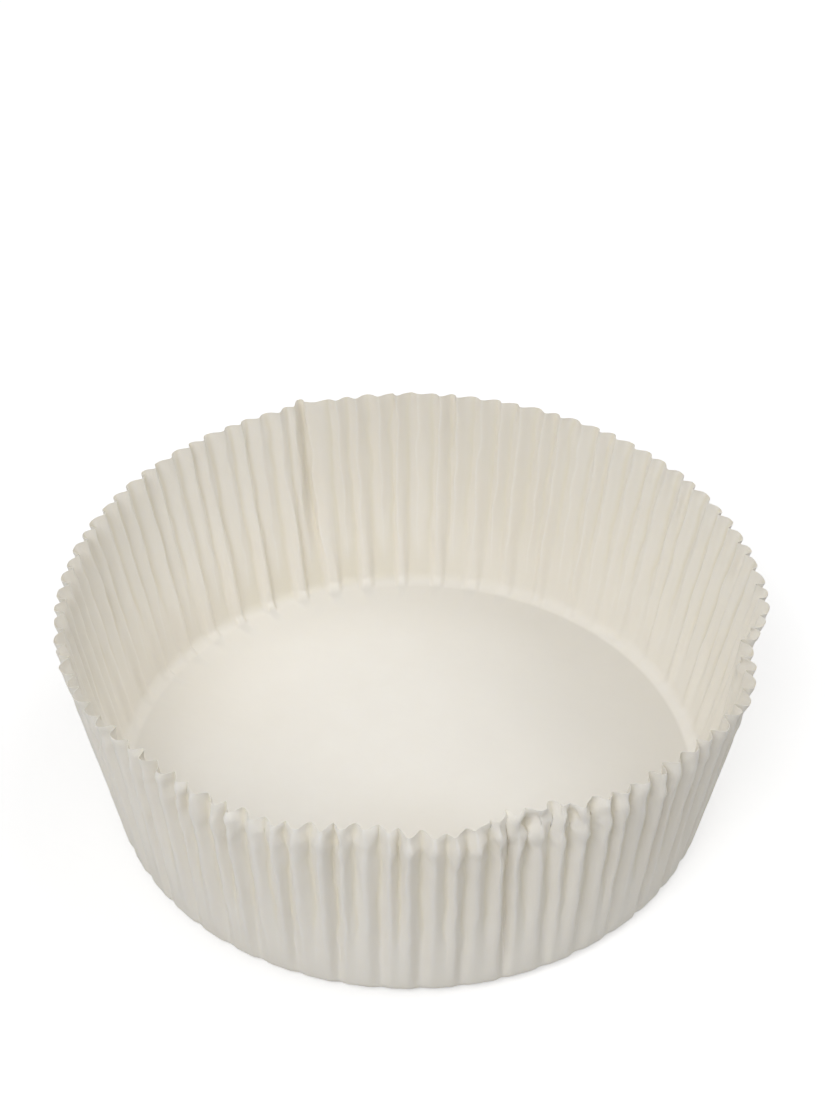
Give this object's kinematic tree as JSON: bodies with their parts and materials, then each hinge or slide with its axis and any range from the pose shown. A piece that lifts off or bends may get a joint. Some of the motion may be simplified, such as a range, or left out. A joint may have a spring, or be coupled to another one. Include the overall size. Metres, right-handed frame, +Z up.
{
  "type": "cake tin liner",
  "caption": "Fluted white greaseproof paper liner for a round cake tin, with a flat floor, a rounded corner, a leaning pleated wall and a rim pushed in at the front.",
  "frame": {"origin": "centre of the floor's underside", "axes": "+Z up out of the open mouth, -Y towards the side where the rim is pushed in, +X to the right as seen from that side"},
  "size_m": [0.231, 0.2231, 0.076],
  "materials": {
    "paper": "matt, warm white greaseproof paper"
  },
  "bodies": {
    "root": {"liner": "paper"}
  },
  "joints": []
}
